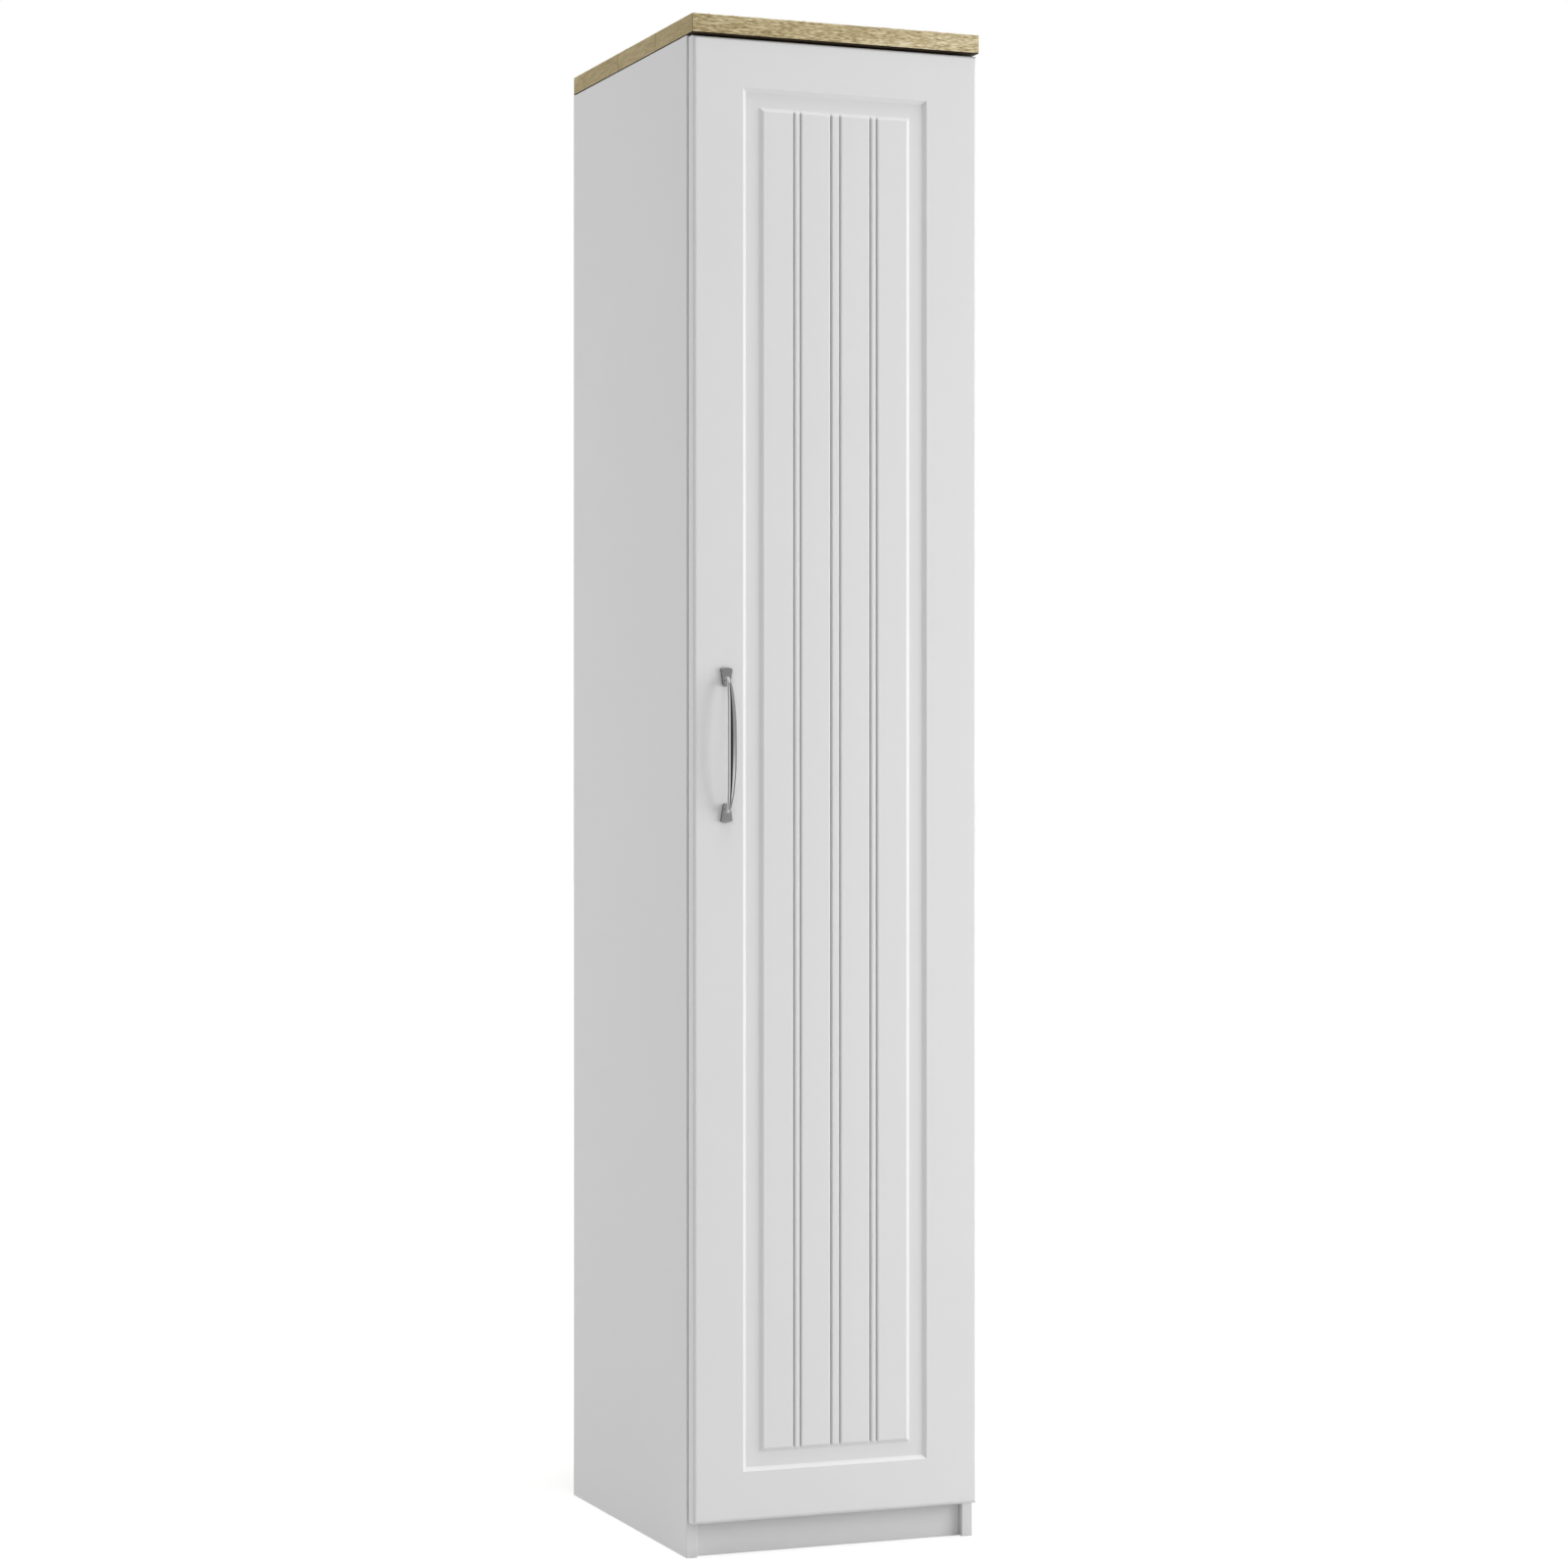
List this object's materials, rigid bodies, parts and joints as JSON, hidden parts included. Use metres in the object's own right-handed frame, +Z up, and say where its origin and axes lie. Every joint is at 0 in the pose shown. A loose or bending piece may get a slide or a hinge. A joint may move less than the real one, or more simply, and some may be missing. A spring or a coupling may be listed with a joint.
{
  "type": "single-door wardrobe",
  "caption": "Tall narrow white wardrobe with an oak top, one hinged door with a grooved routed panel and a bow handle, a hat shelf and a hanging rail inside.",
  "frame": {"origin": "on the floor, under the middle of the whole object's box", "axes": "+X to the right as seen from the front, +Y from the door to the back, +Z up"},
  "size_m": [0.4, 0.504, 1.97],
  "materials": {
    "white_board": "satin white melamine on chipboard",
    "white_foil": "satin white foil wrapped on fibreboard",
    "oak": "oak grain foil, fine grain along the width",
    "hardboard": "white-lacquered hardboard",
    "chrome": "polished chrome",
    "handle_chrome": "dark polished chrome on a zinc casting",
    "nickelled_steel": "nickel-plated pressed steel",
    "zinc": "zinc-plated steel",
    "clear_pad": "clear soft pad"
  },
  "bodies": {
    "carcass": {"left_side": "white_board", "right_side": "white_board", "base_board": "white_board", "hat_shelf": "white_board", "kickboard": "white_board", "rear_rail": "white_board", "oak_top": "oak", "back_panel": "hardboard", "base_cam_left_front": "zinc", "base_cam_left_rear": "zinc", "base_cam_right_front": "zinc", "base_cam_right_rear": "zinc", "shelf_cam_left_front": "zinc", "shelf_cam_left_rear": "zinc", "shelf_cam_right_front": "zinc", "shelf_cam_right_rear": "zinc", "top_cam_left_front": "zinc", "top_cam_left_rear": "zinc", "top_cam_right_front": "zinc", "top_cam_right_rear": "zinc", "hanging_rail": "chrome", "rail_socket_left": "chrome", "rail_socket_right": "chrome", "rail_screw_left_lower": "zinc", "rail_screw_left_upper": "zinc", "rail_screw_right_lower": "zinc", "rail_screw_right_upper": "zinc", "hinge_1_arm": "nickelled_steel", "hinge_1_plate": "nickelled_steel", "hinge_1_clamp_screw": "zinc", "hinge_1_plate_screw_lower": "zinc", "hinge_1_plate_screw_upper": "zinc", "hinge_2_arm": "nickelled_steel", "hinge_2_plate": "nickelled_steel", "hinge_2_clamp_screw": "zinc", "hinge_2_plate_screw_lower": "zinc", "hinge_2_plate_screw_upper": "zinc", "hinge_3_arm": "nickelled_steel", "hinge_3_plate": "nickelled_steel", "hinge_3_clamp_screw": "zinc", "hinge_3_plate_screw_lower": "zinc", "hinge_3_plate_screw_upper": "zinc"},
    "door": {"door": "white_foil", "door_buffer_lower": "clear_pad", "door_buffer_upper": "clear_pad", "handle": "handle_chrome", "handle_screw_lower": "zinc", "handle_screw_upper": "zinc", "hinge_1_cup": "nickelled_steel", "hinge_1_pin": "zinc", "hinge_1_cup_screw_lower": "zinc", "hinge_1_cup_screw_upper": "zinc", "hinge_2_cup": "nickelled_steel", "hinge_2_pin": "zinc", "hinge_2_cup_screw_lower": "zinc", "hinge_2_cup_screw_upper": "zinc", "hinge_3_cup": "nickelled_steel", "hinge_3_pin": "zinc", "hinge_3_cup_screw_lower": "zinc", "hinge_3_cup_screw_upper": "zinc"}
  },
  "joints": [
    {"name": "door_swing", "type": "hinge", "parent": "carcass", "child": "door", "pos_m": [0.1915, -0.216, 0.994], "axis": [0, 0, 1], "range_deg": [0, 100]}
  ]
}
